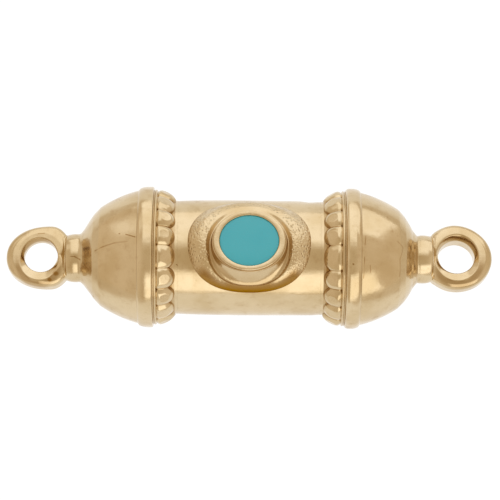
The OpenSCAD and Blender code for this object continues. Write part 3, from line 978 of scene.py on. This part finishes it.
def gold_material(name, is_cast):
    """Pale gold plating: uneven gloss, hairlines, painted shade and reflection in its hollows, stains and
    marks, or on cast parts a pitted skin.
    """
    material, nodes, place, shader = new_material(name)
    shader.inputs["Metallic"].default_value = 1.0
    tone = nodes.remap(nodes.noise(place, TONE_SCALE, 3), 0.35, 0.70)
    painted_shade_and_stain = gold_shade_and_stain(nodes, place, not is_cast)
    # Brown mixed into the colour and the reflection's tint: painted shade and reflection in hollows, with
    # faint patches and marks
    nodes.feed(shader.inputs["Base Color"], nodes.blend(painted_shade_and_stain, nodes.blend(tone, GOLD, DEEP_GOLD), SHADE_AND_STAIN_BROWN))
    nodes.feed(shader.inputs["Specular Tint"], nodes.blend(painted_shade_and_stain, WHITE, SHADE_AND_STAIN_TINT))
    roughness = nodes.remap(nodes.noise(place, GLOSS_SCALE, 4, 0.6), 0.25, 0.75, *ROUGHNESS, False)
    hairlines = nodes.noise(place, HAIRLINE_SCALE, 3, 0.7, HAIRLINE_STRETCH)
    normal = nodes.bump(hairlines, HAIRLINE_DEPTH * MM)
    normal = nodes.bump(nodes.noise(place, PEEL_SCALE, 2, 0.5), PEEL_DEPTH * MM, 1.0, normal)
    if is_cast:
        share = cast_share(nodes, place)
        strength = nodes.remap(share, 0, 1, STIPPLE_MIDDLE, 1.0, False)
        normal = nodes.bump(nodes.noise(place, GRAIN_SCALE, 2, 0.5), GRAIN_DEPTH * MM, strength, normal)
        normal = nodes.bump(nodes.pits(place, PIT_SCALE), PIT_DEPTH * MM, strength, normal)
        roughness = nodes.math("ADD", roughness, nodes.math("MULTIPLY", share, CAST_ROUGHNESS))
    nodes.feed(shader.inputs["Roughness"], roughness)
    nodes.feed(shader.inputs["Normal"], normal)
    return material


def enamel_material():
    """Opaque turquoise enamel, glossy and faintly cloudy."""
    material, nodes, place, shader = new_material("turquoise_enamel")
    cloud = nodes.remap(nodes.noise(place, CLOUD_SCALE, 2), 0.3, 0.7)
    nodes.feed(shader.inputs["Base Color"], nodes.blend(cloud, TURQUOISE, LIGHT_TURQUOISE))
    shader.inputs["Roughness"].default_value = ENAMEL_ROUGHNESS
    wave = nodes.noise(place, WAVE_SCALE, 2)
    nodes.feed(shader.inputs["Normal"], nodes.bump(wave, WAVE_DEPTH * MM))
    return material


LENS_MM = 200
SENSOR_MM = 36
CLIP_M = (0.01, 10)
PHOTO_WIDTH_PX = 500
MM_PER_PX = 0.0702
# Place of the body's middle in the photograph, and how far the bead is turned clockwise in it
BODY_PX = (249.2, 257.9)
ROLL = math.radians(0.52)


def make_camera():
    """The camera at the photograph's angle, framed so that the body's middle is at its pixel."""
    back = Vector((0, -math.cos(ELEVATION), math.sin(ELEVATION)))
    right = Vector((1, 0, 0))
    up = back.cross(right)
    turn = Matrix.Rotation(ROLL, 3, back)
    right, up = turn @ right, turn @ up
    data = bpy.data.cameras.new("camera")
    data.lens = LENS_MM
    data.sensor_width = SENSOR_MM
    data.clip_start, data.clip_end = CLIP_M
    distance = PHOTO_WIDTH_PX * MM_PER_PX * LENS_MM / SENSOR_MM
    off_x = (PHOTO_WIDTH_PX / 2 - BODY_PX[0]) * MM_PER_PX
    off_y = (PHOTO_WIDTH_PX / 2 - BODY_PX[1]) * MM_PER_PX
    aim = Vector((0, 0, AXIS_Z)) + right * off_x - up * off_y
    camera = bpy.data.objects.new("camera", data)
    camera.location = (aim + back * distance) * MM
    camera.rotation_mode = "QUATERNION"
    camera.rotation_quaternion = Matrix((right, up, back)).transposed().to_quaternion()
    bpy.context.scene.collection.objects.link(camera)
    bpy.context.scene.camera = camera


ROOM = (0.72, 0.615, 0.46, 1)
ROOM_SIDES = (0.86, 0.755, 0.62, 1)
FRONT_LIGHT = (1.66, 1.64, 1.60, 1)
BACK_LIGHT = (1.40, 1.40, 1.42, 1)
# Light panels: two limits of turn and two of lean, in degrees, each as where its soft edge is dark and where
# it is bright
FRONT_PANEL = ((21, 36), (78, 68)), ((-14, -5), (47, 41))
# The panels behind, in the middle, on the left and on the right, each with its brightness as a share
BACK_PANELS = [
    (((-14, -40), (-120, -105)), ((-26, -17), (30, 22)), 1.0),
    (((-40, -58), (-92, -72)), ((-48, -42), (-14, -23)), 0.5),
    (((-44, -54), (-120, -105)), ((18, 28), (49, 43)), 1.0),
]


def make_light():
    """Plain soft studio light: a warm grey room with a bright panel in front and a row of three behind.

    Directions are told by their lean to the side and by their turn about the tube from straight above
    the front of the table, where the camera stands."""
    world = bpy.data.worlds.new("studio")
    bpy.context.scene.world = world
    world.use_nodes = True
    nodes = Nodes(world.node_tree)
    direction = nodes.add("ShaderNodeTexCoord").outputs["Generated"]
    x, y, z = nodes.split(direction)
    turn = nodes.math("ARCTAN2", nodes.math("MULTIPLY", y, -1.0), z)
    turn = nodes.math("SUBTRACT", turn, math.pi / 2 - ELEVATION)
    turn = nodes.math("MULTIPLY", turn, 180 / math.pi)
    lean = nodes.math("MULTIPLY", nodes.math("ARCSINE", x), 180 / math.pi)

    def panel(turn_limits, lean_limits):
        """1 inside a range of turn and lean, falling to 0 over the soft edges given with each limit."""
        share = 1.0
        for value, limits in ((turn, turn_limits), (lean, lean_limits)):
            for dark, bright in limits:
                share = nodes.math("MULTIPLY", share, nodes.remap(value, dark, bright))
        return share

    back = 0.0
    for turn_limits, lean_limits, brightness in BACK_PANELS:
        share = nodes.math("MULTIPLY", panel(turn_limits, lean_limits), brightness)
        back = nodes.math("MAXIMUM", back, share)
    aside = nodes.remap(nodes.math("ABSOLUTE", lean), 8, 45)
    colour = nodes.blend(aside, ROOM, ROOM_SIDES)
    colour = nodes.blend(panel(*FRONT_PANEL), colour, FRONT_LIGHT)
    colour = nodes.blend(back, colour, BACK_LIGHT)
    nodes.finish("ShaderNodeOutputWorld", nodes.add("ShaderNodeBackground", {"Color": colour}))


# The floor: half its size, its own colour, the light of its sides, and the distances from its middle
# between which the bright strip fades into them, in metres
FLOOR_HALF = 3.0
FLOOR_COLOUR = (0.06, 0.06, 0.06, 1)
FLOOR_SIDES = (0.76, 0.68, 0.57, 1)
STRIP_EDGE = (0.018, 0.032)


def make_floor():
    """The plain table under the bead: a strip lit from within like a light table, dimmer at its sides."""
    half = FLOOR_HALF
    mesh = bpy.data.meshes.new("floor")
    corners = [(-half, -half, 0), (half, -half, 0), (half, half, 0), (-half, half, 0)]
    mesh.from_pydata(corners, [], [(0, 1, 2, 3)])
    floor = bpy.data.objects.new("floor", mesh)
    bpy.context.scene.collection.objects.link(floor)
    material, nodes, place, shader = new_material("pale_table")
    aside = nodes.remap(nodes.math("ABSOLUTE", nodes.split(place)[0]), *STRIP_EDGE)
    shader.inputs["Base Color"].default_value = FLOOR_COLOUR
    shader.inputs["Roughness"].default_value = 0.9
    shader.inputs["Specular IOR Level"].default_value = 0.0
    nodes.feed(shader.inputs["Emission Color"], nodes.blend(aside, WHITE, FLOOR_SIDES))
    shader.inputs["Emission Strength"].default_value = 1.0
    mesh.materials.append(material)


bpy.context.scene.view_settings.view_transform = "Standard"
bpy.context.scene.cycles.glossy_bounces = 10
make_camera()
make_light()
make_floor()
polished = gold_material("polished_gold", False)
cast = gold_material("cast_gold", True)
make_barrel(polished)
for word, side in (("left", LEFT), ("right", RIGHT)):
    make_beaded_ring("beads_" + word, "beaded_ring_" + word, side, polished)
    make_cap("cap_" + word, "end_cap_" + word, side, polished)
    make_loop("loop_" + word, "end_loop_" + word, side, polished)
make_bezel(cast)
make_enamel(enamel_material())
